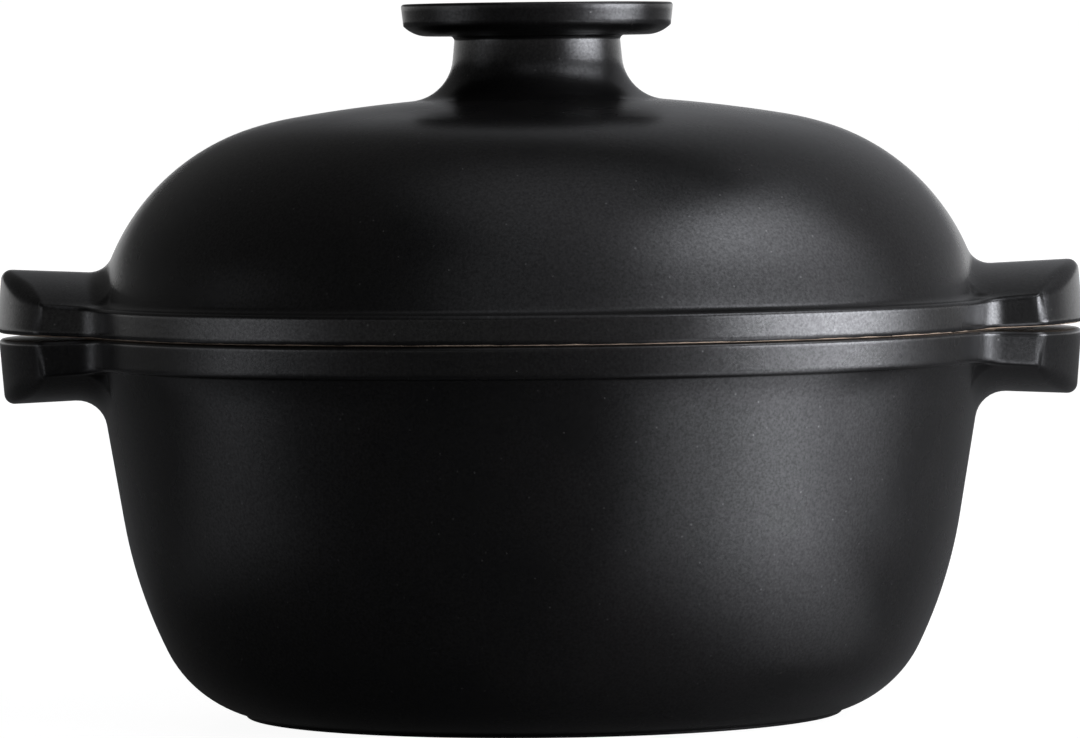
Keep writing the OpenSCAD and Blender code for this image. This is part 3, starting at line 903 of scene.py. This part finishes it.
class CASSEROLE_OT_stage(bpy.types.Operator):
    """Make the white floor, the round backdrop, the soft lamps and the camera"""

    bl_idname = "casserole.stage"
    bl_label = "Stage"
    bl_options = {"REGISTER", "UNDO"}

    def execute(self, context):
        look = context.scene.casserole_stage
        add_stage(context, look)
        add_lamps(context, look)
        add_camera(context, look)
        return {"FINISHED"}


def add_stage(context, look):
    """Floor and backdrop in one sheet, with a rounded foot to the backdrop."""
    flat_r = look.wall_radius - BACKDROP_FOOT
    section = np.concatenate((
        line((0, 0), (flat_r, 0), 6),
        arc((flat_r, BACKDROP_FOOT), BACKDROP_FOOT, -math.pi / 2, 0, 8),
        [(look.wall_radius, look.wall_height)],
    ))
    ray = turn(np.linspace(0, 2 * math.pi, 97)[:-1])
    rings = circle_rings(section, ray)
    count, stations = rings.shape[:2]
    points = np.concatenate((rings.reshape(-1, 3), [[0, 0, 0]]))
    faces = [(count * stations, i, (i + 1) % stations) for i in range(stations)]
    for this in range(0, (count - 1) * stations, stations):
        after = this + stations
        for i in range(stations):
            k = (i + 1) % stations
            faces.append((this + i, after + i, after + k, this + k))
    mesh = bpy.data.meshes.new("stage")
    mesh.from_pydata(points.tolist(), [], faces)
    mesh.shade_smooth()
    stage = bpy.data.objects.new("stage", mesh)
    stage.data.materials.append(white_stage(look))
    context.scene.collection.objects.link(stage)


def soften(data, tint, edges, ease):
    """Lets a soft box fade out towards its left, right, lower and upper edge. edges gives the share
    of its width or height that each fade takes, in that order."""
    data.use_nodes = True
    tree = data.node_tree
    tree.nodes.clear()
    place = node(tree, "ShaderNodeNewGeometry").outputs["Parametric"]
    across = node(tree, "ShaderNodeSeparateXYZ", Vector=place)
    strength = 1
    left, right, lower, upper = edges
    for axis, start, end in (
        ("X", 0, left), ("X", 1, 1 - right), ("Y", 0, lower), ("Y", 1, 1 - upper),
    ):
        if start == end:
            continue
        rise = node(
            tree, "ShaderNodeMapRange", {"interpolation_type": ease},
            Value=across.outputs[axis], From_Min=start, From_Max=end,
        )
        product = node(
            tree, "ShaderNodeMath", {"operation": "MULTIPLY"}, i0=strength, i1=rise.outputs[0],
        )
        strength = product.outputs[0]
    glow = node(tree, "ShaderNodeEmission", Color=tint[:], Strength=strength)
    node(tree, "ShaderNodeOutputLight", Surface=glow.outputs[0])


def add_lamp(context, name, radiance, centre, size, target, edges, ease="SMOOTHSTEP"):
    """Rectangular soft box of a given radiance that faces a point. The camera doesn't see it."""
    data = bpy.data.lights.new(name, "AREA")
    data.shape = "RECTANGLE"
    data.size, data.size_y = size
    data.energy = radiance * math.pi * size[0] * size[1]
    soften(data, context.scene.casserole_stage.tint, edges, ease)
    lamp = bpy.data.objects.new(name, data)
    lamp.location = centre
    lamp.rotation_euler = (Vector(target) - Vector(centre)).to_track_quat("-Z", "Y").to_euler()
    lamp.visible_camera = False
    context.scene.collection.objects.link(lamp)


def add_soft_box(context, name, radiance, distance, azimuths, elevations, edges):
    """Upright soft box that fills a range of azimuths and elevations, in degrees, as seen from the
    pot. Azimuth 0 points to the camera and 90 to the right."""
    middle = math.radians(sum(azimuths) / 2)
    width = 2 * distance * math.tan(math.radians(azimuths[1] - azimuths[0]) / 2)
    low, high = (SEAT_Z + distance * math.tan(math.radians(e)) for e in elevations)
    across = Vector((math.sin(middle), -math.cos(middle), 0)) * distance
    centre = across + Vector((0, 0, (low + high) / 2))
    add_lamp(context, name, radiance, centre, (width, high - low), (0, 0, centre.z), edges)


def add_card(context, name, radiance, azimuth, reach, width):
    """Card on the floor beside the pot. reach gives where it starts and ends, from the pot's axis.
    It is tilted a little towards the pot and grows brighter outwards."""
    direction = Vector((math.sin(math.radians(azimuth)), -math.cos(math.radians(azimuth)), 0))
    centre = direction * sum(reach) / 2 + Vector((0, 0, CARD_LIFT))
    depth = reach[1] - reach[0]
    target = centre + Vector((0, 0, depth)) - direction * 2 * CARD_LIFT
    edges = (0.4, 0.4, 1, 0)
    add_lamp(context, name, radiance, centre, (width, depth), target, edges, "LINEAR")


def add_lamps(context, look):
    """Light for a dark glossy pot, which shows little more than what it reflects: soft boxes for
    the tall highlights, cards on the floor for what faces down, large dim screens and a dim room
    for the rest. The boxes, cards and screens fade out at most of their edges, so their highlights
    end softly."""
    # name, radiance, distance, azimuths, elevations, share that fades at each edge
    for box in (
        ("key_low", look.key, 1.3, (35, 104), (-4, 17), (0.5, 0.45, 0, 0.45)),
        ("key_high", look.key_high, 1.35, (20, 112), (12, 66), (0.5, 0.5, 0.3, 0.6)),
        ("fill_low", look.fill, 1.3, (-102, -46), (-4, 8), (0.5, 0.4, 0, 0.5)),
        ("fill_high", look.fill_high, 1.3, (-104, -62), (4, 30), (0.5, 0.5, 0.1, 0.6)),
        ("rear_screen", look.rear, 1.7, (108, 196), (-3, 60), (0.3, 0.3, 0, 0.3)),
        ("front_screen", look.front, 1.9, (-40, 40), (14, 56), (0.4, 0.3, 0.3, 0.4)),
    ):
        add_soft_box(context, *box)
    # name, radiance, azimuth, reach, width
    for card in (
        ("key_card", look.key_card, 75, (0.25, 0.9), 0.3),
        ("front_card", look.front_card, 52, (0.12, 0.4), 0.16),
        ("side_card", look.side_card, 33, (0.15, 0.4), 0.16),
        ("fill_card", look.fill_card, -75, (0.17, 0.8), 0.25),
    ):
        add_card(context, *card)
    for name, radiance, (x, y), size in (
        ("top_screen", look.top, (0.1, -0.6), (1.8, 2.4)),
        ("top_right_screen", look.top_right, (1.25, -0.4), (1.6, 3)),
    ):
        edges = (0.4, 0.4, 0.4, 0.4)
        add_lamp(context, name, radiance, (x, y, CEILING), size, (x, y, 0), edges)
    world = bpy.data.worlds.new("dim_room")
    world.use_nodes = True
    world.node_tree.nodes.clear()
    room = node(world.node_tree, "ShaderNodeBackground", Color=(1, 1, 1, 1), Strength=look.room)
    node(world.node_tree, "ShaderNodeOutputWorld", Surface=room.outputs[0])
    context.scene.world = world


def add_camera(context, look):
    """Camera straight in front of the pot, at the photographed height and lean."""
    data = bpy.data.cameras.new("camera")
    data.sensor_width = 36
    data.lens = look.lens
    data.clip_start = 0.1
    data.clip_end = 30
    camera = bpy.data.objects.new("camera", data)
    camera.location = (0, -look.camera_distance, look.camera_height)
    aim = Vector((look.aim_side, 0, look.aim_height)) - camera.location
    level = aim.to_track_quat("-Z", "Y").to_matrix()
    camera.rotation_euler = (level @ Matrix.Rotation(-look.camera_roll, 3, "Z")).to_euler()
    context.scene.collection.objects.link(camera)
    context.scene.camera = camera


class CASSEROLE_PT_panel(bpy.types.Panel):
    """Sizes, colours and buttons for the casserole"""

    bl_idname = "CASSEROLE_PT_panel"
    bl_label = "Casserole"
    bl_space_type = "VIEW_3D"
    bl_region_type = "UI"
    bl_category = "Casserole"

    def draw(self, context):
        for group, (_, operator) in GROUPS.items():
            box = self.layout.box()
            settings = getattr(context.scene, group)
            for name in settings.__annotations__:
                box.prop(settings, name)
            if operator:
                box.operator(operator)


# Property groups, each with the operator whose button stands under it in the panel
GROUPS = {
    "casserole_pot": (PotSizes, "casserole.pot"),
    "casserole_knob": (KnobSizes, None),
    "casserole_lid": (LidSizes, "casserole.lid"),
    "casserole_lugs": (LugSizes, None),
    "casserole_glaze": (GlazeLook, None),
    "casserole_stage": (StageLook, "casserole.stage"),
}
CLASSES = (CASSEROLE_OT_pot, CASSEROLE_OT_lid, CASSEROLE_OT_stage, CASSEROLE_PT_panel)


def register():
    for name, (group, _) in GROUPS.items():
        bpy.utils.register_class(group)
        setattr(bpy.types.Scene, name, PointerProperty(type=group))
    for cls in CLASSES:
        bpy.utils.register_class(cls)


def unregister():
    for cls in reversed(CLASSES):
        bpy.utils.unregister_class(cls)
    for name, (group, _) in reversed(GROUPS.items()):
        delattr(bpy.types.Scene, name)
        bpy.utils.unregister_class(group)


def main():
    register()
    bpy.context.scene.view_settings.view_transform = "Standard"
    bpy.ops.casserole.stage()
    bpy.ops.casserole.pot()
    bpy.ops.casserole.lid()


if __name__ == "__main__":
    main()
